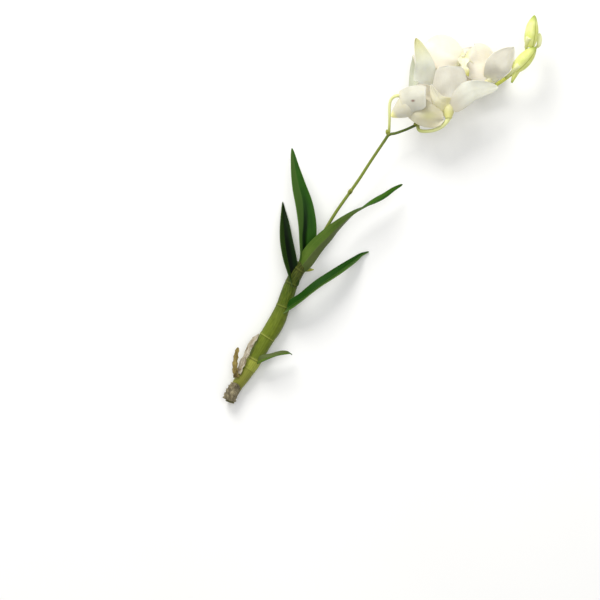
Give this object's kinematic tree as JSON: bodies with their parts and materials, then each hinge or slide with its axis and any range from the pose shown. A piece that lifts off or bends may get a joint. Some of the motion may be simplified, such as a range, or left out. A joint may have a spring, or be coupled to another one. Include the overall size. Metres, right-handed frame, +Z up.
{
  "type": "dendrobium orchid stem",
  "caption": "Cut flowering stem of a dendrobium orchid lying flat: jointed green cane with strap leaves and papery sheaths, and a slender arching spike of white blooms and green buds.",
  "frame": {"origin": "centre of the stem's box in the plan, on the surface that it lies on", "axes": "+Z up from that surface; +Y the way the cane grows, from its cut end at -X -Y towards the last buds at +X +Y; +X to the right seen from above"},
  "size_m": [0.3204, 0.3889, 0.0584],
  "materials": {
    "cane": "fleshy olive-green stem, satin, with darker and yellower internodes",
    "leaf": "thick green leaf, satin, with fine parallel veins",
    "sheath": "dry papery sheath, matt and fibrous",
    "spike": "wiry dark to yellow-green flower stalk, satin",
    "petal": "thin creamy white petal, soft and slightly see-through",
    "lip": "white to yellow-green lip, soft",
    "bud": "yellow-green closed bud, satin"
  },
  "bodies": {
    "root": {"cane": "cane", "leaf_1": "leaf", "leaf_2": "leaf", "leaf_3": "leaf", "leaf_4": "leaf", "leaf_5": "leaf", "sheath_collar": "sheath", "sheath_tall": "sheath", "sheath_short": "sheath", "spike": "spike", "bloom_1": "petal", "bloom_2": "petal", "bloom_3": "petal", "bloom_4": "petal", "bloom_5": "petal", "lip_1": "lip", "lip_2": "lip", "lip_3": "lip", "lip_4": "lip", "lip_5": "lip", "bud_1": "bud", "bud_2": "bud", "bud_3": "bud"}
  },
  "joints": []
}
